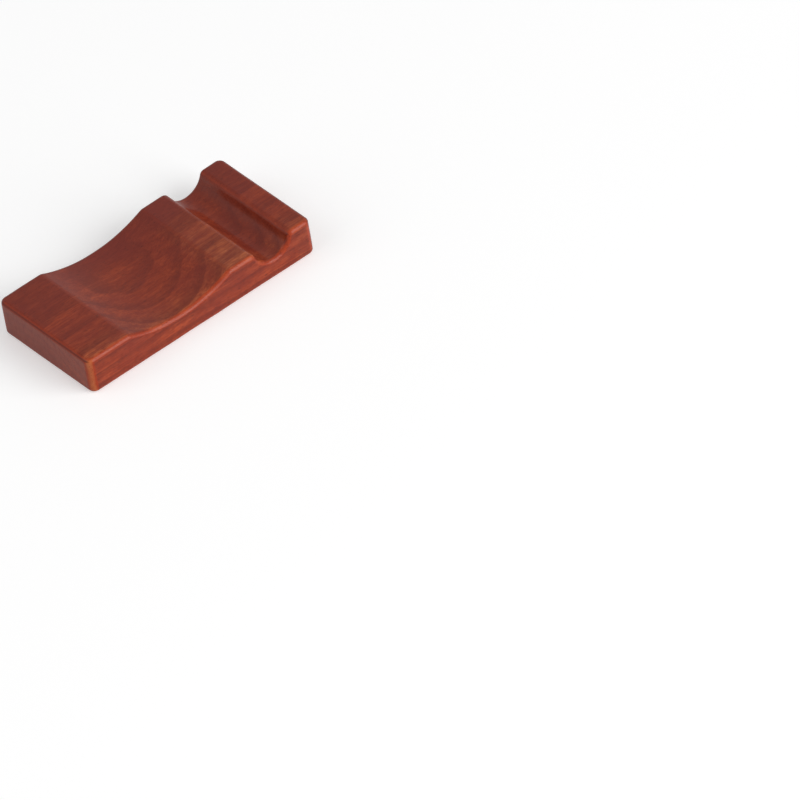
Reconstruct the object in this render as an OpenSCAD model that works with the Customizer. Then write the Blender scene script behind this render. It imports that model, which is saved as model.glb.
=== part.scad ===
// Two-place table rest: one solid block of hardwood, milled with a wide hollow and a narrow groove.
// X runs along the block, Y across it, Z up. The origin is the middle of the face it stands on.

/* [Block] */
// Length of the block along X
block_l = 80; // [77:1:100]
// Width of the block along Y
block_w = 40; // [30:1:60]
// Height of the block, from the table to its flat top
block_h = 12; // [10:0.5:20]

/* [Wide hollow] */
// Flat top between the left end and the wide hollow
left_land = 15; // [8:0.5:18]
// Width of the wide hollow at its mouth, before its lips are softened
wide_w = 36; // [24:0.5:39]
// Depth of the wide hollow below the flat top
wide_d = 4; // [2:0.25:6]
// Radius of the soft lip between the wide hollow and the flat top
wide_lip_r = 3; // [1.75:0.25:5]

/* [Narrow groove] */
// Flat top between the wide hollow and the narrow groove
middle_land = 9; // [5:0.5:12]
// Width of the narrow groove at its mouth, before its lips are softened
narrow_w = 12; // [11:0.5:15]
// Depth of the narrow groove below the flat top
narrow_d = 5.5; // [3:0.25:5.5]
// Radius of the soft lip between the narrow groove and the flat top
narrow_lip_r = 2; // [1.6:0.1:2.5]

/* [Sanded edges] */
// Radius of the edges round the top, the base and the ends of the channels
edge_r = 1.3; // [0.4:0.1:1.9]
// Radius of the four upright corners, seen from above
corner_r = 2.2; // [1.8:0.1:6]

/* [Hidden] */
$fn = 96;

// How far a cutter runs past the face that it cuts
overrun = 2;

// How far the round of a lip reaches past the two surfaces that it joins, so that it crosses them
// cleanly. It is too little to see or feel.
lip_proud = 0.03;

// How far the round of an edge reaches past the two faces that it joins before it is cut back
edge_bite = 0.02;

// Middle of each channel along X
wide_x = -block_l / 2 + left_land + wide_w / 2;
narrow_x = -block_l / 2 + left_land + wide_w + middle_land + narrow_w / 2;

// Radius of the arc with a given width at its mouth and a given depth
function arc_radius(width, depth) = (width * width / 4 + depth * depth) / (2 * depth);

// How far the middle of a lip's round lies below the flat top
function lip_sink(lip_r) = lip_r - lip_proud;

// How far the middle of a lip's round lies from the middle of its channel, along X
function lip_reach(radius, depth, sink) = sqrt(pow(radius + sink, 2) - pow(radius - depth + sink, 2));

// Rectangle that stands on the X axis, with its four corners rounded by edge_r. Each round reaches
// past the sides by edge_bite before it is cut back to them, so it crosses them cleanly.
module eased_outline(across, up) {
    wide = across + 2 * edge_bite;
    tall = up + 2 * edge_bite;
    intersection() {
        translate([-across / 2, 0])
            square([across, up]);
        translate([0, -edge_bite]) {
            translate([edge_r - wide / 2, 0])
                square([wide - 2 * edge_r, tall]);
            translate([-wide / 2, edge_r])
                square([wide, tall - 2 * edge_r]);
            for (side = [-1, 1], level = [edge_r, tall - edge_r])
                translate([side * (wide / 2 - edge_r), level])
                    circle(edge_r);
        }
    }
}

// Round post that stands on the XY plane, with both its end edges rounded by edge_r
module eased_post(radius, tall) {
    rotate_extrude()
        intersection() {
            eased_outline(2 * radius, tall);
            square([radius, tall]);
        }
}

// The block before the channels are milled, with every edge and corner rounded
module blank() {
    reach_x = block_l / 2 - corner_r;
    reach_y = block_w / 2 - corner_r;
    for (x = [-reach_x, reach_x], y = [-reach_y, reach_y])
        translate([x, y, 0])
            eased_post(corner_r, block_h);
    rotate([90, 0, 0])
        linear_extrude(2 * reach_y, center = true)
            eased_outline(block_l, block_h);
    rotate([90, 0, 90])
        linear_extrude(2 * reach_x, center = true)
            eased_outline(block_w, block_h);
}

// Half of the section along a channel's cutter. Its mouths flare by edge_r, which rounds the edge
// that the cutter leaves on the front and back faces.
module flared_section(radius) {
    run = block_w / 2 + edge_bite - edge_r;
    difference() {
        translate([0, -block_w / 2 - overrun])
            square([radius + edge_r - edge_bite, block_w + 2 * overrun]);
        translate([radius, -run])
            square([edge_r, 2 * run]);
        for (end = [-run, run])
            translate([radius - edge_bite + edge_r, end])
                circle(edge_r);
    }
}

// Outline that a soft lip is cut from, on the +X side of a channel: it lies between the upright line
// and the line towards the channel's axis, both through the middle of the lip's round
module lip_wedge(radius, depth, sink) {
    reach = lip_reach(radius, depth, sink);
    touch_share = radius / (radius + sink);
    touch_x = reach * touch_share;
    touch_z = radius - depth - (radius - depth + sink) * touch_share;
    polygon([[reach, -sink], [reach, overrun], [touch_x, overrun], [touch_x, touch_z]]);
}

// Cutter for one channel across the block, with its middle line on the Y axis at the flat top. The
// two posts taken out of it leave the wood of the soft lips standing.
module channel_cutter(width, depth, lip_r) {
    radius = arc_radius(width, depth);
    sink = lip_sink(lip_r);
    reach = lip_reach(radius, depth, sink);
    difference() {
        union() {
            translate([0, 0, radius - depth])
                rotate([90, 0, 0])
                    rotate_extrude()
                        flared_section(radius);
            for (side = [0, 1])
                mirror([side, 0, 0])
                    rotate([90, 0, 0])
                        linear_extrude(block_w + 2 * overrun, center = true)
                            lip_wedge(radius, depth, sink);
        }
        for (x = [-reach, reach])
            translate([x, block_w / 2, -sink])
                rotate([90, 0, 0])
                    eased_post(lip_r, block_w);
    }
}

// The whole rest: red-brown stained and lacquered hardwood
module rest_block() {
    color("#7a3a2c")
        difference() {
            blank();
            translate([wide_x, 0, block_h])
                channel_cutter(wide_w, wide_d, wide_lip_r);
            translate([narrow_x, 0, block_h])
                channel_cutter(narrow_w, narrow_d, narrow_lip_r);
        }
}

rest_block();
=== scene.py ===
# %% [markdown]
# # A milled table rest in red-brown lacquered wood
#
# The real object is one small block of hardwood. A workshop saws it from a board with the grain
# along its length, mills a wide shallow hollow and a narrow deeper groove across its top, sands
# every edge round, stains it red-brown and sprays on a thin satin lacquer.
#
# The construction model is loaded first. It is the fixed frame: it says how large the block is and
# where it stands, and nothing here moves or resizes it.

# %% Load the construction model
import math

import bpy
import numpy as np
from mathutils import Matrix, Vector, noise


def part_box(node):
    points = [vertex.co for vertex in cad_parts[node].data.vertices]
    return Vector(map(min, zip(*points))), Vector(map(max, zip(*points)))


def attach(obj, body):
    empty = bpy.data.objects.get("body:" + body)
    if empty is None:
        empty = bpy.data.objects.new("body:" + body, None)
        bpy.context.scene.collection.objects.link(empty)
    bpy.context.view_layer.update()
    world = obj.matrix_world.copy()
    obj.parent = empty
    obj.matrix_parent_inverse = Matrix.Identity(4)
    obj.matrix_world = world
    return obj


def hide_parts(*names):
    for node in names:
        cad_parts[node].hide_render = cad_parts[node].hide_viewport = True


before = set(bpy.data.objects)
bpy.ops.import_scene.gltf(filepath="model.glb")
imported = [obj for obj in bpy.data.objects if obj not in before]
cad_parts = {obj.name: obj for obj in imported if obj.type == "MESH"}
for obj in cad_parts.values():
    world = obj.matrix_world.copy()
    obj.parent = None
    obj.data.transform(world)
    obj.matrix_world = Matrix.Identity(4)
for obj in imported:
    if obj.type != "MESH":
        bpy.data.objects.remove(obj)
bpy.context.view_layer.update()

# %% [markdown]
# ## Sizes
#
# Length, width and height are read from the frame. The rest repeats the sizes that the block is
# milled to. They are written in millimetres, as on a workshop drawing, and turned to metres once,
# when the mesh is made.

# %% Sizes in millimetres
MM = 0.001
block_low, block_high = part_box("rest_block")
LENGTH, WIDTH, HEIGHT = (block_high - block_low) / MM
EDGE_R = 1.3     # every sanded edge
CORNER_R = 2.2   # the four upright corners, seen from above
LEFT_LAND = 15.0
MIDDLE_LAND = 9.0
WIDE_W, WIDE_D, WIDE_LIP_R = 36.0, 4.0, 3.0
NARROW_W, NARROW_D, NARROW_LIP_R = 12.0, 5.5, 2.0
WIDE_X = -LENGTH / 2 + LEFT_LAND + WIDE_W / 2
NARROW_X = WIDE_X + WIDE_W / 2 + MIDDLE_LAND + NARROW_W / 2
print(f"block {LENGTH:.1f} x {WIDTH:.1f} x {HEIGHT:.1f} mm")

# %% [markdown]
# ## The top line
#
# Seen from the front, the top of the block is one line: a flat, a lip, the wide hollow, a lip, and
# so on to the right end. It could be cut with booleans and bevelled, but a bevel meets a curved
# hollow badly, and the highlight that runs along an edge shows every fault. Here the line is drawn
# from flats and arcs that touch without a corner. Each point keeps the direction that faces out of
# the wood, because the sanded edges are laid off along it, and how worn it is, from 0 to 1.

# %% Arcs and flats of the top line
ARC_STEP = 0.6                # mm between points on a wide arc
ARC_TURN = math.radians(3.5)  # turn between points on a tight arc
FLAT_STEP = 1.0               # mm between points on a flat
LIP_WEAR = 0.55               # a lip is rounder than an edge, so it wears less


def arc(centre_x, centre_z, radius, start, end, side, wear):
    """Points on an arc: x, z, the two parts of the outward direction, and wear. Angles run from
    straight up towards +X. side is 1 where the wood lies inside the arc and -1 where it is cut."""
    turn = abs(end - start)
    count = math.ceil(max(turn / ARC_TURN, turn * radius / ARC_STEP))
    share = np.linspace(0, 1, count + 1)
    angle = start + (end - start) * share
    out = np.stack([np.sin(angle), np.cos(angle)], axis=1)
    points = np.array([centre_x, centre_z]) + side * radius * out
    return np.column_stack([points, out, wear * np.sin(math.pi * share)])


def channel(middle, width, depth, lip_r):
    """A lip, the channel's arc and the other lip. The arcs touch where one line joins their centres."""
    radius = (width ** 2 / 4 + depth ** 2) / (2 * depth)
    centre_z = HEIGHT + radius - depth
    lip_z = HEIGHT - lip_r
    reach = math.sqrt((radius + lip_r) ** 2 - (centre_z - lip_z) ** 2)
    lean = math.asin(reach / (radius + lip_r))
    print(f"channel at x {middle:.0f}: arc radius {radius:.2f}, lips {reach:.2f} mm from its middle")
    return [
        arc(middle - reach, lip_z, lip_r, 0, lean, 1, LIP_WEAR),
        arc(middle, centre_z, radius, lean, -lean, -1, 0),
        arc(middle + reach, lip_z, lip_r, -lean, 0, 1, LIP_WEAR),
    ]


def flat(start, end):
    """Points on the flat top from start to end along X."""
    x = np.linspace(start, end, math.ceil((end - start) / FLAT_STEP) + 1)
    level, none = np.full_like(x, HEIGHT), np.zeros_like(x)
    return np.column_stack([x, level, none, none + 1, none])


# %% Join the top line
wide = channel(WIDE_X, WIDE_W, WIDE_D, WIDE_LIP_R)
narrow = channel(NARROW_X, NARROW_W, NARROW_D, NARROW_LIP_R)
line_end = LENGTH / 2 - CORNER_R
parts = [
    flat(-line_end, wide[0][0, 0]),
    *wide,
    flat(wide[-1][-1, 0], narrow[0][0, 0]),
    *narrow,
    flat(narrow[-1][-1, 0], line_end),
]
top_line = np.vstack([part[:-1] for part in parts] + [parts[-1][-1:]])
print(len(top_line), "points along the top line")

# %% [markdown]
# ## Upright columns round the block
#
# The sides are made of columns, one after the other round the block. Each column starts on the
# underside, turns through a quarter circle, climbs the wall, and turns through another quarter
# circle onto the top. Over a channel the upper quarter circle leans with the channel's slope, so
# the sanded edge keeps one radius all the way through the hollows, as a sanding pad leaves it.
#
# Two rows of each wall lie close to the rounds. They hold the wall flat right up to the edge, which
# keeps the shading clean. The wear is strongest in the middle of a round and ends where the round
# meets the flat, so that the highlight runs over it without a step.

# %% One column
ROUND_STEPS = 8
WALL_SHARES = np.array([0.02, 0.15, 0.33, 0.5, 0.67, 0.85, 0.98])
UP = np.array([0.0, 0.0, 1.0])
WEAR = 6   # a point's row holds its place, its outward direction and, at this number, its wear


def column(anchor, up, out, wear):
    """Points from the underside to the anchor on the top, with their outward direction and wear."""
    quarter = np.linspace(0, math.pi / 2, ROUND_STEPS + 1)[:, None]
    top_centre = anchor - EDGE_R * up
    base_centre = np.array([top_centre[0], top_centre[1], EDGE_R])
    above = np.cos(quarter) * out + np.sin(quarter) * up
    below = (np.cos(quarter) * out - np.sin(quarter) * UP)[::-1]
    foot, head = base_centre + EDGE_R * out, top_centre + EDGE_R * out
    wall = foot + WALL_SHARES[:, None] * (head - foot)
    points = np.vstack([base_centre + EDGE_R * below, wall, top_centre + EDGE_R * above])
    directions = np.vstack([below, np.tile(out, (len(wall), 1)), above])
    round_wear = np.sin(2 * quarter[:, 0]) ** 2
    worn = np.concatenate([round_wear[::-1], np.zeros(len(wall)), round_wear])
    return np.column_stack([points, directions, 1 - (1 - worn) * (1 - wear)])


print(f"{2 * (ROUND_STEPS + 1) + len(WALL_SHARES)} points in a column, edges of {EDGE_R} mm")


# %% Columns of each side
def corner(side_x, side_y, start):
    """Columns of one upright corner, from the angle start through a quarter turn, without the two
    that belong to its neighbours."""
    turns = np.linspace(0, math.pi / 2, ROUND_STEPS + 1)[1:-1]
    middle = np.array([side_x * (LENGTH / 2 - CORNER_R), side_y * (WIDTH / 2 - CORNER_R), HEIGHT])
    made = []
    for turn in turns:
        out = np.array([math.cos(start + turn), math.sin(start + turn), 0.0])
        anchor = middle + (CORNER_R - EDGE_R) * out
        made.append(column(anchor, UP, out, math.sin(2 * turn)))
    return made


def long_side(side_y):
    """Columns of the front or the back, from left to right."""
    out = np.array([0.0, side_y, 0.0])
    made = []
    for x, z, out_x, out_z, wear in top_line:
        anchor = np.array([x, side_y * (WIDTH / 2 - EDGE_R), z])
        made.append(column(anchor, np.array([out_x, 0.0, out_z]), out, 0.0))
        made[-1][-1, WEAR] = wear   # its last point lies on the top line
    return made


def end_side(side_x):
    """Columns of the left or the right end, from front to back."""
    out = np.array([side_x, 0.0, 0.0])
    reach = WIDTH / 2 - CORNER_R
    stations = np.linspace(-reach, reach, math.ceil(2 * reach / FLAT_STEP) + 1)
    return [
        column(np.array([side_x * (LENGTH / 2 - EDGE_R), y, HEIGHT]), UP, out, 0.0)
        for y in stations
    ]


# %% Columns round the whole block
front, back = long_side(-1), long_side(1)[::-1]
right = corner(1, -1, -math.pi / 2) + end_side(1) + corner(1, 1, 0.0)
left = corner(-1, 1, math.pi / 2) + end_side(-1)[::-1] + corner(-1, -1, math.pi)
columns = np.array(front + right + back + left)
column_count, row_count = columns.shape[:2]
print(column_count, "columns of", row_count, "points")

# %% Faces of the sides
points = [tuple(row) for row in columns.reshape(-1, WEAR + 1)]
faces = []
along, across = len(front), len(right)


def index(column_number, row):
    """Number of a column's point in the list of all points."""
    return column_number * row_count + row


for c in range(column_count):
    following = (c + 1) % column_count
    for r in range(row_count - 1):
        faces.append((index(c, r), index(following, r), index(following, r + 1), index(c, r + 1)))
print(len(faces), "faces round the sides")

# %% [markdown]
# ## Top and underside
#
# Both are filled with rows that run the length of the block. A row starts on a column of the left
# end, follows the top line, and stops on the facing column of the right end. Since the channels
# are straight across, every row is the same line moved along Y.

# %% Faces of the top and the underside
def fill(row, face_up):
    """Fills the loop that one row of the columns makes, with a grid of faces."""
    right_ids = [index(along + i, row) for i in range(across)]
    left_ids = [index(2 * along + across + i, row) for i in range(across)][::-1]
    front_ids = [index(i, row) for i in range(along)]
    back_ids = [index(along + across + i, row) for i in range(along)][::-1]
    grid = [front_ids]
    for left_id, right_id in zip(left_ids, right_ids):
        inner = []
        for i in front_ids:
            x, _, z, out_x, _, out_z, wear = points[i]
            inner.append(len(points))
            points.append((x, points[right_id][1], z, out_x, 0.0, out_z, wear * face_up))
        grid.append([left_id, *inner, right_id])
    grid.append(back_ids)
    made = []
    for low, high in zip(grid, grid[1:]):
        if len(low) < len(high):
            made.append((low[0], high[1], high[0]))
            made.append((low[-1], high[-1], high[-2]))
            high = high[1:-1]
        elif len(low) > len(high):
            made.append((low[0], low[1], high[0]))
            made.append((low[-2], low[-1], high[-1]))
            low = low[1:-1]
        made += [(low[i], low[i + 1], high[i + 1], high[i]) for i in range(len(low) - 1)]
    faces.extend(made if face_up else [face[::-1] for face in made])


fill(row_count - 1, True)
fill(0, False)
points = np.array(points)
print(len(points), "points and", len(faces), "faces")

# %% [markdown]
# ## Hand sanding
#
# A sanding pad never leaves an edge quite even. The rounds are rubbed down by up to an eighth of a
# millimetre more in some places than in others, and the faces by a few hundredths. Nobody sees the
# dents, but the highlights along the edges get their slight life from them. The block could be
# sculpted by hand. Smooth noise does the same in a few lines, and it is the same on every run.

# %% Rub the surface down
EDGE_RUB, EDGE_RUB_SIZE = 0.13, 9.0     # mm deep at most, and mm from one dent to the next
FACE_RUB, FACE_RUB_SIZE = 0.025, 16.0
STRAIGHT_DOWN = -0.999                  # Z of a direction that faces straight down, or nearly


def rub(position, size):
    """Smooth noise from 0 to 1 that changes over about size mm."""
    return 0.5 + 0.5 * noise.noise(Vector(position) / size)


positions, outward, worn = points[:, :3], points[:, 3:WEAR], points[:, WEAR]
depth = np.array([
    EDGE_RUB * wear * rub(p, EDGE_RUB_SIZE) + FACE_RUB * rub(p, FACE_RUB_SIZE)
    for p, wear in zip(positions, worn)
])
depth[outward[:, 2] < STRAIGHT_DOWN] = 0.0   # the underside stays flat
positions = positions - outward * depth[:, None]
print(f"rubbed down by {depth.mean():.3f} mm on average and {depth.max():.3f} mm at most")

# %% [markdown]
# ## The block as a piece
#
# The points become one closed mesh, which stands in for the construction model's block. Smooth
# shading would tip the flat faces towards the rounds, so a weighted normal modifier lets the large
# faces decide, and the flats stay flat.
#
# The wear of each point is kept on the mesh, where the stain can read it later. There it doesn't
# stop at the top: the pad tips over the edge, and dulls the stain on the first millimetre of the
# flat as well, without denting it.

# %% How worn the stain is
PAD_TIP = 0.65                 # wear of the stain where a round meets the top
TIP_ROWS = ROUND_STEPS // 2    # rows of a column on the upper half of its top round

stain_wear = worn.copy()
column_wear = stain_wear[:column_count * row_count].reshape(column_count, row_count)
column_wear[:, -TIP_ROWS:] = PAD_TIP + (1 - PAD_TIP) * column_wear[:, -TIP_ROWS:]
print(f"{np.mean(stain_wear > 0.5):.0%} of the points lie where the stain is worn")

# %% Make the block
mesh = bpy.data.meshes.new("milled_block")
mesh.from_pydata((positions * MM).tolist(), [], faces)
mesh.polygons.foreach_set("use_smooth", [True] * len(mesh.polygons))
mesh.attributes.new("sanded_edge", "FLOAT", "POINT").data.foreach_set("value", stain_wear)
mesh.validate()
block = bpy.data.objects.new("milled_block", mesh)
bpy.context.scene.collection.objects.link(block)
block.modifiers.new("flats_stay_flat", "WEIGHTED_NORMAL")
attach(block, "root")
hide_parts("rest_block")
print("block", [round(size / MM, 2) for size in block.dimensions], "mm")

# %% [markdown]
# ## Helpers for materials
#
# Colours are written as sRGB hex values, as a paint chart gives them. Blender's shaders work with
# linear light, so one function turns them over. Another adds a node, sets it and links it, which
# keeps each material readable as a list of steps.
#
# An input of a node can be picked by its name or its number. Map Range and Mix have several inputs
# of one name, so theirs are picked by number, and the numbers get names here.

# %% Colour and node helpers
# Map Range: the value, the range that it comes from, and what is given at the ends of that range
VALUE, FROM_LOW, FROM_HIGH, TO_LOW, TO_HIGH = range(5)
# Mix: the two colours that go in, and the colour that comes out
COLOUR_A, COLOUR_B, MIXED = 6, 7, 2


def linear(hex_colour):
    """A colour such as "7a3a2c" as linear red, green, blue and alpha."""
    channels = [int(hex_colour[i:i + 2], 16) / 255 for i in (0, 2, 4)]
    return [c / 12.92 if c <= 0.04045 else ((c + 0.055) / 1.055) ** 2.4 for c in channels] + [1.0]


def add(tree, kind, inputs=None, **settings):
    """Adds a shader node. An input is a value, an output to link, or a node to link the first
    output of."""
    made = tree.nodes.new("ShaderNode" + kind)
    for name, value in settings.items():
        setattr(made, name, value)
    for socket, value in (inputs or {}).items():
        if isinstance(value, bpy.types.Node):
            value = value.outputs[0]
        if isinstance(value, bpy.types.NodeSocket):
            tree.links.new(value, made.inputs[socket])
        else:
            made.inputs[socket].default_value = value
    return made


print(f"the grey 808080 gives back {linear('808080')[0]:.0%} of the light that falls on it")

# %% [markdown]
# ## Stained beech: the wood's pattern
#
# The wood is a pale, close-grained hardwood such as beech, with the grain along the block. An image
# of wood could be wrapped round the mesh, but it would smear over the rounds and show a seam. Here
# the pattern fills space, as wood does, and each face shows its own cut: long lazy lines on top,
# rings that open into loops where the hollow cuts through them, and arcs, upright lines and fine dots
# on the sawn ends.
#
# Every pattern is a noise that is stretched to a real size. Beech has fibres too fine to see, rays
# that show as short dashes on the top and as flecks on the sides, and growth rings a few
# millimetres apart.

# %% Real sizes of the wood's pattern, in millimetres
PITH = (0.0, 13.0, -46.0)      # middle of the log, well below the block
RING_SPACING = 3.1
LOG_TAPER = 0.03               # share of the way along the log that counts as away from the pith
GRAIN_WANDER = (60.0, 15.0, 15.0)
GRAIN_SHIFT = 5.0
STREAK = (48.0, 2.4, 1.8)
BLOTCH = (4.0, 1.5, 1.5)
MOTTLE = (16.0, 10.0, 10.0)
CLOUD = (34.0, 24.0, 24.0)
# real fibres, rays and pores are under 0.1 mm wide, too fine to show, so they are drawn coarser
FIBRE = (14.0, 0.3, 0.3)
RAY_CELL = (3.2, 0.42, 0.8)
FINE_PORE_CELL = (1.5, 0.3, 0.3)
END_PORE_CELL = (2.5, 0.42, 0.42)
END_RAY = (3.0, 0.4, 3.6)
print(f"growth rings every {RING_SPACING} mm, a ray in a cell of {RAY_CELL[0]} by {RAY_CELL[1]} mm")

# %% [markdown]
# ## Where a point lies in the log
#
# All patterns start from the place of a point in the block, in millimetres. A tree doesn't grow
# straight, so a slow noise shifts the place sideways by a few millimetres. The patterns of the wood
# read the shifted place and bend together. What comes from hands and tools reads the plain one.

# %% Place in the log
def log_place(tree):
    """The plain place and the place in the wandering grain, both in mm."""
    metres = add(tree, "TexCoord").outputs["Object"]
    plain = add(tree, "VectorMath", {0: metres, "Scale": 1 / MM}, operation="SCALE")
    slow = add(tree, "VectorMath", {0: plain, 1: GRAIN_WANDER}, operation="DIVIDE")
    wander = add(tree, "TexNoise", {"Vector": slow, "Scale": 1.0, "Detail": 2.0}).outputs["Color"]
    centred = add(tree, "VectorMath", {0: wander, 1: (0.5, 0.5, 0.5)}, operation="SUBTRACT")
    shift = {0: centred, 1: (0.0, GRAIN_SHIFT, GRAIN_SHIFT), 2: plain}
    return plain, add(tree, "VectorMath", shift, operation="MULTIPLY_ADD")


print(f"the grain wanders by up to {GRAIN_SHIFT / 2} mm to each side")

# %% [markdown]
# ## Three kinds of pattern
#
# Streaks, blotches and fibres are soft noise, stretched along the grain. Rays and pores are short
# dashes, at most one in each cell of a Voronoi pattern. Growth rings are the distance from the middle
# of the log, cut into equal steps: each ring darkens slowly towards its late wood and ends sharply.

# %% Soft patterns
def soft_pattern(tree, place, size, low, high, detail=3.0):
    """Noise stretched to size mm, from 0 where it is below low to 1 where it is above high."""
    steps = add(tree, "VectorMath", {0: place, 1: size}, operation="DIVIDE")
    cloud = add(tree, "TexNoise", {"Vector": steps, "Scale": 1.0, "Detail": detail, "Roughness": 0.6})
    ends = {VALUE: cloud, FROM_LOW: low, FROM_HIGH: high}
    return add(tree, "MapRange", ends, interpolation_type="SMOOTHSTEP")


print(f"a streak is about {STREAK[0]:.0f} mm long and {STREAK[1]} mm wide")


# %% Dashes
def dashes(tree, place, cell, width, kept):
    """One short dash in the middle of each cell of cell mm, of a share width of the cell. Only a
    share kept of the cells have one, each of its own darkness."""
    steps = add(tree, "VectorMath", {0: place, 1: cell}, operation="DIVIDE")
    cells = add(tree, "TexVoronoi", {"Vector": steps, "Scale": 1.0})
    rim = {VALUE: cells, FROM_LOW: width / 2, FROM_HIGH: width, TO_LOW: 1.0, TO_HIGH: 0.0}
    dash = add(tree, "MapRange", rim, interpolation_type="SMOOTHSTEP")
    chance = add(tree, "SeparateColor", {0: cells.outputs["Color"]})
    darkness = add(tree, "MapRange", {VALUE: chance, FROM_LOW: 1 - kept})
    return add(tree, "Math", {0: dash, 1: darkness}, operation="MULTIPLY")


# %% Growth rings
LATE_WOOD_START = 0.3    # share of a ring at which it begins to darken
LATE_WOOD_PEAK = 0.92    # share of a ring at which it is darkest


def growth_rings(tree, grain):
    """1 in the dark late wood that ends each ring, 0 in the pale early wood."""
    from_pith = add(tree, "VectorMath", {0: grain, 1: PITH}, operation="SUBTRACT")
    across = add(tree, "VectorMath", {0: from_pith, 1: (LOG_TAPER, 1.0, 1.0)}, operation="MULTIPLY")
    radius = add(tree, "VectorMath", {0: across}, operation="LENGTH").outputs["Value"]
    count = add(tree, "Math", {0: radius, 1: RING_SPACING}, operation="DIVIDE")
    share = add(tree, "Math", {0: count}, operation="FRACT")
    darkening = {VALUE: share, FROM_LOW: LATE_WOOD_START, FROM_HIGH: LATE_WOOD_PEAK}
    rise = add(tree, "MapRange", darkening, interpolation_type="SMOOTHERSTEP")
    fall = add(tree, "MapRange", {VALUE: share, FROM_LOW: LATE_WOOD_PEAK, TO_LOW: 1.0, TO_HIGH: 0.0})
    return add(tree, "Math", {0: rise, 1: fall}, operation="MULTIPLY")


rise_mm = (LATE_WOOD_PEAK - LATE_WOOD_START) * RING_SPACING
print(f"a ring darkens over {rise_mm:.1f} mm and fades in {(1 - LATE_WOOD_PEAK) * RING_SPACING:.2f} mm")

# %% [markdown]
# ## Stain
#
# The red-brown stain soaks in unevenly. Rays, fibres and late wood take more of it, and the sawn
# ends, where the open fibres drink it, turn browner. Towards the back the colour is darker and more
# purple. The patterns are laid over the base colour one after the other, each with its own stain and
# strength.

# %% Colours of the stain
STAIN = linear("ae4927")          # on plain wood
PALE_AND_CORNER_LIGHT = linear("de804d")     # paler along the front and on the middle land, and a painted highlight on the front right corner
STAIN_DEEP = linear("72200f")     # in fibres, streaks and blotches
STAIN_PURPLE = linear("742820")   # in clouds and mottles, and darker towards the back
LATE_WOOD_AND_EDGE_SHADE = linear("601c0e")      # in the end of a ring, and as painted shade on edges
RAY_BROWN = linear("3a120a")      # in rays and pores
END_GRAIN = linear("8a3c2a")      # on the sawn ends
RUBBED_RED = linear("ac3913")     # where an edge is rubbed
THIN_STAIN = linear("bc6337")     # where the pale wood shows through


def stained(tree, colour, layers):
    """The colour after each layer of (where, strength, stain)."""
    print(len(layers), "layers of stain")
    for where, strength, stain in layers:
        share = add(tree, "Math", {0: where, 1: strength}, operation="MULTIPLY")
        inputs = {"Factor": share, COLOUR_A: colour, COLOUR_B: stain}
        colour = add(tree, "Mix", inputs, data_type="RGBA").outputs[MIXED]
    return colour


print("the stain in linear light:", [round(channel, 3) for channel in STAIN[:3]])

# %% [markdown]
# ## Edges where the stain is thin
#
# On the sanded edges the stain is rubbed off: a little along the left end and the front, where it
# shows a clear red, and most on the upright corner between them, where the pale wood shows through
# orange.
#
# The wear that was kept on the mesh says where an edge is, and the direction of the surface says
# which way it faces. A hand-painted mask could do the same, but it would have to be painted again
# after each change of the shape.
#
# A Map Range node whose end value is another mask multiplies the two, which saves a node.

# %% Rubbed edges
MOST_HANDLED = (-0.64, -0.77, 0.0)   # towards the front left corner
HAND_REACH = {FROM_LOW: 0.2, FROM_HIGH: 0.97, TO_LOW: 0.05, TO_HIGH: 0.85}
BARE_FROM = {FROM_LOW: 0.3, FROM_HIGH: 0.7}
LEFT_CORNERS = {FROM_LOW: -0.45 * LENGTH, FROM_HIGH: -0.36 * LENGTH}


def facing(tree, direction):
    """How squarely the surface faces the direction, from -1 to 1."""
    normal = add(tree, "TexCoord").outputs["Normal"]
    squarely = add(tree, "VectorMath", {0: normal, 1: direction}, operation="DOT_PRODUCT")
    return squarely.outputs["Value"]


def rubbed_edges(tree, wear, patches):
    """Share of the stain that is rubbed off the edges, in patches, and more where hands reach."""
    handled = add(tree, "MapRange", {VALUE: facing(tree, MOST_HANDLED), **HAND_REACH})
    patchy = add(tree, "MapRange", {VALUE: patches, TO_LOW: 0.55})
    handled = add(tree, "Math", {0: handled, 1: patchy}, operation="MULTIPLY")
    return add(tree, "Math", {0: wear, 1: handled}, operation="MULTIPLY")


def bare_corner(tree, place, rubbed):
    """Share of pale wood that shows on the front left corner."""
    bare = add(tree, "MapRange", {VALUE: rubbed, **BARE_FROM})
    left = {VALUE: place.outputs["X"], **LEFT_CORNERS, TO_LOW: bare, TO_HIGH: 0.0}
    return add(tree, "MapRange", left)


print(f"bare wood ends {LENGTH / 2 + LEFT_CORNERS[FROM_HIGH]:.1f} mm from the left end")

# %% [markdown]
# ## Painted shade on edges, and the sawn ends
#
# The edges at the right end and the back are darkened with painted shade, where their rounds turn
# away. The sawn ends are browner, with upright lines where the rays come out. Where the edge above a
# sawn end turns down, a fine dark line of painted shade runs along it.

# %% Dark edges
EDGE_SHADE_SIDE = (0.9, 0.43, 0.0)   # towards the back right corner, the side whose edges get painted shade
AWAY = {FROM_LOW: 0.1, FROM_HIGH: 0.7}
EDGE_MIDDLE = {FROM_LOW: 0.2, FROM_HIGH: 0.9}
RIGHT_END = {FROM_LOW: 0.4 * LENGTH, FROM_HIGH: 0.45 * LENGTH}
BACK_EDGE = {FROM_LOW: 0.35 * WIDTH, FROM_HIGH: 0.45 * WIDTH}


def painted_edge_shade(tree, place, wear):
    """Share of painted shade on the edges of the right end and the back, on the side that faces away.
    """
    edge = add(tree, "MapRange", {VALUE: wear, **EDGE_MIDDLE})
    away = add(tree, "MapRange", {VALUE: facing(tree, EDGE_SHADE_SIDE), **AWAY, TO_HIGH: edge})
    end = add(tree, "MapRange", {VALUE: place.outputs["X"], **RIGHT_END})
    back = add(tree, "MapRange", {VALUE: place.outputs["Y"], **BACK_EDGE})
    far = add(tree, "Math", {0: end, 1: back}, operation="MAXIMUM")
    return add(tree, "Math", {0: away, 1: far}, operation="MULTIPLY")


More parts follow.
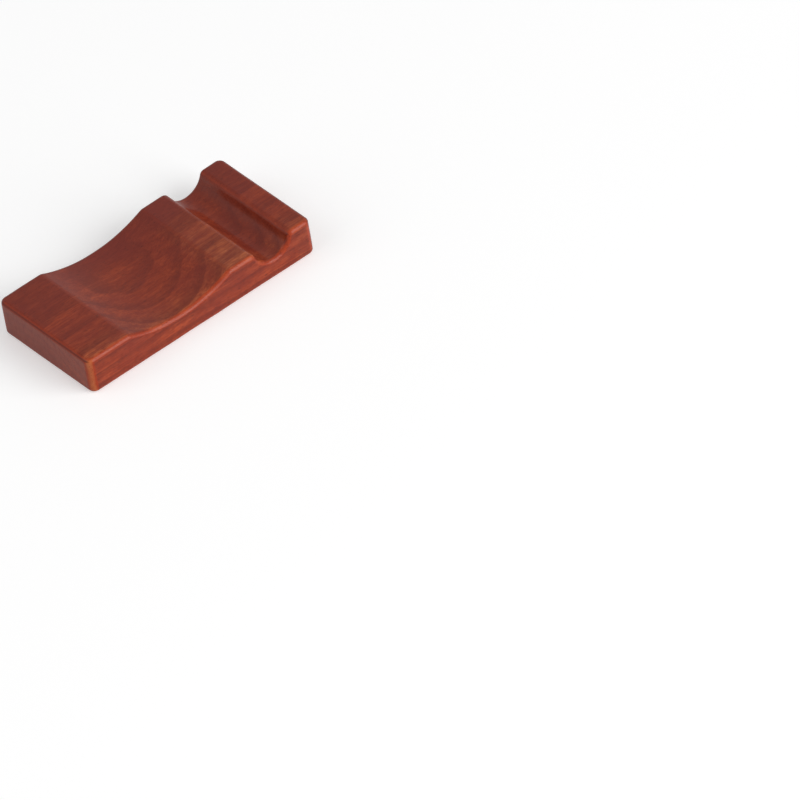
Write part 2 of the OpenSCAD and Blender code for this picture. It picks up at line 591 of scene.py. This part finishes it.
print(f"dark edges start {LENGTH / 2 - RIGHT_END[FROM_LOW]:.0f} mm from the right end")

# %% Sawn ends
UPWARDS = (0.0, 0.0, 1.0)
NEAR_END = {FROM_LOW: 0.3, FROM_HIGH: 0.6}
LINE_FOOT = {FROM_LOW: 0.25, FROM_HIGH: 0.45}
LINE_HEAD = {FROM_LOW: 0.62, FROM_HIGH: 0.8}


def sawn_ends(tree, grain, sawn):
    """Share of the browner stain on the sawn ends, with the upright lines of the rays in it."""
    lines = soft_pattern(tree, grain, END_RAY, low=0.35, high=0.65)
    uneven = add(tree, "MapRange", {VALUE: lines, TO_LOW: 0.15})
    return add(tree, "Math", {0: sawn, 1: uneven}, operation="MULTIPLY")


def end_line_shade(tree, wear, sawn):
    """1 in the fine line of painted shade along the lower half of the round above a sawn end."""
    upwards = facing(tree, UPWARDS)
    on_end = add(tree, "MapRange", {VALUE: sawn, **NEAR_END, TO_HIGH: wear})
    below = add(tree, "MapRange", {VALUE: upwards, **LINE_HEAD, TO_LOW: on_end, TO_HIGH: 0.0})
    return add(tree, "MapRange", {VALUE: upwards, **LINE_FOOT, TO_HIGH: below})


line_turns = [math.degrees(math.asin(z)) for z in (LINE_FOOT[FROM_LOW], LINE_HEAD[FROM_HIGH])]
print("the dark line lies from {:.0f} to {:.0f} degrees up the round".format(*line_turns))

# %% [markdown]
# ## Front, middle and back
#
# The top is paler along the front and on the land between the channels, and the front right corner
# is paler too, as a painted highlight. Towards the back of the block the colour is darker and more
# purple. Each of these is a slow change along X or Y, broken up by a soft noise so that it doesn't
# look airbrushed.

# %% Front, middle and back
LAND_X = WIDE_X + WIDE_W / 2 + MIDDLE_LAND / 2   # middle of the land between the channels
BACK = {FROM_LOW: -0.4 * WIDTH, FROM_HIGH: 0.5 * WIDTH}
ON_TOP = {FROM_LOW: 0.2, FROM_HIGH: 0.9}
RIGHT_CORNERS = {FROM_LOW: 0.4 * LENGTH, FROM_HIGH: 0.5 * LENGTH}
FRONT_STRIP = {FROM_LOW: -0.5 * WIDTH, FROM_HIGH: -0.28 * WIDTH}
LAND_SIDES = {FROM_LOW: 0.4 * MIDDLE_LAND, FROM_HIGH: 0.9 * MIDDLE_LAND}
LAND_LENGTH = {FROM_LOW: -0.2 * WIDTH, FROM_HIGH: 0.4 * WIDTH}


def towards_back(tree, place, clouds):
    """0 at the front of the block and 1 at its back, with a cloudy border."""
    cloudy = add(tree, "MapRange", {VALUE: clouds, TO_LOW: 0.5})
    return add(tree, "MapRange", {VALUE: place.outputs["Y"], **BACK, TO_HIGH: cloudy})


def paler_front_and_corner_highlight(tree, place, patches):
    """Share of paler colour on the top along the front, and of a painted highlight on its right corner.
    """
    # the front right corner: a painted highlight
    at_corner = add(tree, "MapRange", {VALUE: place.outputs["X"], **RIGHT_CORNERS})
    on_top = add(tree, "MapRange", {VALUE: facing(tree, UPWARDS), **ON_TOP})
    either = add(tree, "Math", {0: at_corner, 1: on_top}, operation="MAXIMUM")
    patchy = add(tree, "MapRange", {VALUE: patches, TO_LOW: 0.5})
    either = add(tree, "Math", {0: either, 1: patchy}, operation="MULTIPLY")
    front = {VALUE: place.outputs["Y"], **FRONT_STRIP, TO_LOW: either, TO_HIGH: 0.0}
    return add(tree, "MapRange", front)


def paler_land(tree, place, patches):
    """Share of paler colour on the land between the channels, less towards the back."""
    aside = add(tree, "Math", {0: place.outputs["X"], 1: LAND_X}, operation="SUBTRACT")
    aside = add(tree, "Math", {0: aside}, operation="ABSOLUTE")
    patchy = add(tree, "MapRange", {VALUE: patches, TO_LOW: 0.6})
    near = add(tree, "MapRange", {VALUE: aside, **LAND_SIDES, TO_LOW: patchy, TO_HIGH: 0.0})
    front = {VALUE: place.outputs["Y"], **LAND_LENGTH, TO_LOW: near, TO_HIGH: 0.0}
    front = add(tree, "MapRange", front)
    return add(tree, "MapRange", {VALUE: facing(tree, UPWARDS), **ON_TOP, TO_HIGH: front})


print(f"the pale strip reaches {WIDTH / 2 + FRONT_STRIP[FROM_HIGH]:.1f} mm in from the front")

# %% [markdown]
# ## Colour of the wood
#
# Each layer covers a share of those before it, so their order matters. The pale places, with the
# painted highlight on the front right corner, come first, so that the grain shows in them too. Then
# come the wood's own pattern, the purple clouds and the darker purple towards the back, the ends and
# the edges, with the painted shade on the far edges, and last the pores and rays, which hold the
# darkest stain.

# %% Lay the stains over each other
EDGE_PATCH = (5.0, 5.0, 5.0)   # mm, size of a rubbed patch
RUBBED_FULLY = 0.18            # share of rubbed stain at which the clear red shows fully
SAWN_FACE = {FROM_LOW: 0.5, FROM_HIGH: 0.9}
ALONG = (1.0, 0.0, 0.0)


def stained_colour(tree, plain, grain, fibres, rays):
    """Colour of the stained wood before the lacquer."""
    place = add(tree, "SeparateXYZ", {0: plain})
    wear = add(tree, "Attribute", attribute_name="sanded_edge").outputs["Fac"]
    patches = soft_pattern(tree, plain, EDGE_PATCH, low=0.3, high=0.65)
    clouds = soft_pattern(tree, plain, CLOUD, low=0.35, high=0.65, detail=1.0)
    mottle = soft_pattern(tree, plain, MOTTLE, low=0.38, high=0.64, detail=4.0)
    along = facing(tree, ALONG)
    sawn = add(tree, "Math", {0: along, 1: along}, operation="MULTIPLY")
    rubbed = rubbed_edges(tree, wear, patches)
    clear_red = add(tree, "MapRange", {VALUE: rubbed, FROM_HIGH: RUBBED_FULLY})
    end_pores = dashes(tree, grain, END_PORE_CELL, width=0.4, kept=0.85)
    end_pores = add(tree, "MapRange", {VALUE: sawn, **SAWN_FACE, TO_HIGH: end_pores})
    return stained(tree, STAIN, [
        # paler front and middle land, with a painted highlight on the front right corner
        (paler_front_and_corner_highlight(tree, place, patches), 0.5, PALE_AND_CORNER_LIGHT),
        (paler_land(tree, place, patches), 0.65, PALE_AND_CORNER_LIGHT),
        (fibres, 0.55, STAIN_DEEP),
        (soft_pattern(tree, grain, STREAK, low=0.36, high=0.66), 0.4, STAIN_DEEP),
        (soft_pattern(tree, grain, BLOTCH, low=0.4, high=0.6), 0.42, STAIN_DEEP),
        (growth_rings(tree, grain), 0.5, LATE_WOOD_AND_EDGE_SHADE),
        (clouds, 0.2, STAIN_PURPLE),
        (mottle, 0.3, STAIN_PURPLE),
        # darker and more purple towards the back
        (towards_back(tree, place, clouds), 0.55, STAIN_PURPLE),
        (sawn_ends(tree, grain, sawn), 0.8, END_GRAIN),
        (clear_red, 0.55, RUBBED_RED),
        (bare_corner(tree, place, rubbed), 0.9, THIN_STAIN),
        # painted shade on the far edges, and a fine line of it above each sawn end
        (painted_edge_shade(tree, place, wear), 0.8, LATE_WOOD_AND_EDGE_SHADE),
        (end_line_shade(tree, wear, sawn), 1.0, LATE_WOOD_AND_EDGE_SHADE),
        (end_pores, 0.4, RAY_BROWN),
        (dashes(tree, grain, FINE_PORE_CELL, width=0.42, kept=0.8), 0.4, RAY_BROWN),
        (rays, 0.55, RAY_BROWN),
    ])


# %% [markdown]
# ## Satin lacquer
#
# A thin clear lacquer lies on the wood. It has the index of refraction of most lacquers, 1.5, and a
# soft gloss: it mirrors a lamp as a blurred patch. In the shader it is the coat, over a base that
# has hardly any gloss of its own, because the lacquer has filled the wood. The dimples of the rays
# still show through it a little, and the sprayed film has a faint ripple of its own. Both are far
# too shallow to model, so they only bend the light.

# %% Dimples and ripples
DIMPLE = 0.012 * MM
RIPPLE = 0.02 * MM
RIPPLE_SIZE = (1.6, 1.6, 1.6)   # mm
FIBRE_HEIGHT = 0.25             # a fibre stands this share of a dimple proud


def bumps(tree, plain, fibres, rays):
    """Direction of the wood's surface and of the lacquer film's."""
    dimples = add(tree, "Math", {0: rays, 1: -1.0}, operation="MULTIPLY")
    relief = add(tree, "Math", {0: fibres, 1: FIBRE_HEIGHT, 2: dimples}, operation="MULTIPLY_ADD")
    wood = add(tree, "Bump", {"Height": relief, "Distance": DIMPLE, "Strength": 0.8})
    steps = add(tree, "VectorMath", {0: plain, 1: RIPPLE_SIZE}, operation="DIVIDE")
    ripple = add(tree, "TexNoise", {"Vector": steps, "Scale": 1.0, "Detail": 1.0})
    film = {"Height": ripple, "Distance": RIPPLE, "Strength": 0.6, "Normal": wood}
    return wood, add(tree, "Bump", film)


print(f"dimples {DIMPLE / MM:.3f} mm deep, ripples {RIPPLE / MM:.3f} mm")


# %% Put the finish on the block
def stained_beech():
    """Stained beech under a thin satin lacquer."""
    material = bpy.data.materials.new("stained_beech_satin_lacquer")
    material.use_nodes = True
    tree = material.node_tree
    tree.nodes.clear()
    plain, grain = log_place(tree)
    rays = dashes(tree, grain, RAY_CELL, width=0.24, kept=0.7)
    fibres = soft_pattern(tree, grain, FIBRE, low=0.34, high=0.66)
    wood, film = bumps(tree, plain, fibres, rays)
    shader = add(tree, "BsdfPrincipled", {
        "Base Color": stained_colour(tree, plain, grain, fibres, rays),
        "Roughness": 0.5,
        "IOR": 1.5,
        "Specular IOR Level": 0.1,
        "Normal": wood,
        "Coat Weight": 0.27,
        "Coat Roughness": 0.2,
        "Coat IOR": 1.5,
        "Coat Normal": film,
    })
    add(tree, "OutputMaterial", {"Surface": shader})
    print(f"{material.name}: {len(tree.nodes)} nodes")
    return material


block.data.materials.append(stained_beech())

# %% [markdown]
# ## Floor and surroundings
#
# The block stands on a plain white sheet in a white room. The sheet takes the block's soft shadow.
# A white card never photographs quite white by itself, so the camera, and the lacquer that mirrors
# it, see a little light added to it. That lifts the background and leaves the light on the block
# alone.

# %% White card
CARD_WHITE = linear("e6e6e6")
FLOOR_HALF = 3.0      # m
FLOOR_LIFT = 0.388    # light that is added to the card where it is seen or mirrored


def seen_or_mirrored(tree):
    """1 for rays from the camera and for rays that a glossy or clear surface sends on."""
    path = add(tree, "LightPath").outputs
    seen = {0: path["Is Camera Ray"], 1: path["Is Glossy Ray"]}
    seen = add(tree, "Math", seen, operation="MAXIMUM")
    return add(tree, "Math", {0: seen, 1: path["Is Transmission Ray"]}, operation="MAXIMUM")


floor_mesh = bpy.data.meshes.new("floor")
signs = ((-1, -1), (1, -1), (1, 1), (-1, 1))
floor_corners = [(x * FLOOR_HALF, y * FLOOR_HALF, 0) for x, y in signs]
floor_mesh.from_pydata(floor_corners, [], [(0, 1, 2, 3)])
floor = bpy.data.objects.new("floor", floor_mesh)
bpy.context.scene.collection.objects.link(floor)

card = bpy.data.materials.new("matt_white_card")
card.use_nodes = True
tree = card.node_tree
tree.nodes.clear()
paper = add(tree, "BsdfDiffuse", {"Color": CARD_WHITE})
lift = add(tree, "Math", {0: seen_or_mirrored(tree), 1: FLOOR_LIFT}, operation="MULTIPLY")
glow = add(tree, "Emission", {"Strength": lift})
add(tree, "OutputMaterial", {"Surface": add(tree, "AddShader", {0: paper, 1: glow})})
floor.data.materials.append(card)
print(f"floor {2 * FLOOR_HALF:.0f} m wide")

# %% White room
ROOM_LIGHT = 0.4      # light of the room that falls on the block

room = bpy.data.worlds.new("white_room")
room.use_nodes = True
tree = room.node_tree
tree.nodes.clear()
strength = add(tree, "MapRange", {VALUE: seen_or_mirrored(tree), TO_LOW: ROOM_LIGHT})
add(tree, "OutputWorld", {"Surface": add(tree, "Background", {"Strength": strength})})
bpy.context.scene.world = room
print(f"room light {ROOM_LIGHT}")

# %% [markdown]
# ## Lamps
#
# One large soft lamp stands to the right, in front of the block and rather low. It lights the long
# front face more than the top, draws the bright line along the front edge, and misses the left end.
# That end has the white room and a second, much weaker lamp at the left. The brightness of a lamp is
# worked out so that, at level 1, a card that faces it shows its own colour.

# %% Soft lamps
def soft_lamp(name, azimuth, elevation, distance, size, level):
    """A square lamp aimed at the block. At level 1 a surface that faces it shows its own colour."""
    turn, climb = math.radians(azimuth), math.radians(elevation)
    toward = Vector((
        math.cos(climb) * math.cos(turn),
        math.cos(climb) * math.sin(turn),
        math.sin(climb),
    ))
    data = bpy.data.lights.new(name, "AREA")
    data.size = size
    data.energy = level * math.pi ** 2 * distance ** 2
    lamp = bpy.data.objects.new(name, data)
    lamp.location = toward * distance
    lamp.rotation_euler = toward.to_track_quat("Z", "Y").to_euler()
    bpy.context.scene.collection.objects.link(lamp)
    print(f"{name}: {data.energy:.1f} W")


soft_lamp("front_softbox", azimuth=-65, elevation=24, distance=3.0, size=2.4, level=0.96)
soft_lamp("left_softbox", azimuth=165, elevation=35, distance=3.0, size=2.8, level=0.25)

# %% [markdown]
# ## Camera
#
# The photograph looks down on the block from its front left with a long lens, and holds it in the
# upper left of the frame. The camera is turned a little about its own axis and moved sideways, and
# not aimed at the block, so that the block lies where it lies in the photograph.

# %% Direction and tilt of the camera
AZIMUTH, ELEVATION, ROLL = (math.radians(angle) for angle in (-33.065, 40.582, -10.242))

to_camera = Vector((
    math.sin(AZIMUTH) * math.cos(ELEVATION),
    -math.cos(AZIMUTH) * math.cos(ELEVATION),
    math.sin(ELEVATION),
))
level_right = Vector((0, 0, 1)).cross(to_camera).normalized()
level_up = to_camera.cross(level_right)
right_axis = math.cos(ROLL) * level_right + math.sin(ROLL) * level_up
up_axis = math.cos(ROLL) * level_up - math.sin(ROLL) * level_right
print("the camera looks along", [round(part, 2) for part in -to_camera])

# %% Long lens
DISTANCE = 5.0                  # m
BLOCK_RIGHT, BLOCK_UP = -0.066074, 0.029871   # m, the block's origin from the middle of the frame
PIXELS_WIDE = 800               # width of the photograph
FOCAL_PIXELS = 18129.7          # focal length in the photograph's pixels
SENSOR_WIDTH = 36.0             # mm
NEAREST, FARTHEST = 0.1, 20.0   # m, the range that the camera sees

camera_data = bpy.data.cameras.new("long_lens")
camera_data.sensor_width = SENSOR_WIDTH
camera_data.lens = FOCAL_PIXELS / PIXELS_WIDE * SENSOR_WIDTH
camera_data.clip_start, camera_data.clip_end = NEAREST, FARTHEST
camera = bpy.data.objects.new("camera", camera_data)
place = DISTANCE * to_camera - BLOCK_RIGHT * right_axis - BLOCK_UP * up_axis
axes = Matrix((right_axis, up_axis, to_camera)).transposed().to_4x4()
camera.matrix_world = Matrix.Translation(place) @ axes
bpy.context.scene.collection.objects.link(camera)
bpy.context.scene.camera = camera
bpy.context.scene.view_settings.view_transform = "Standard"
print(f"lens {camera_data.lens:.0f} mm")
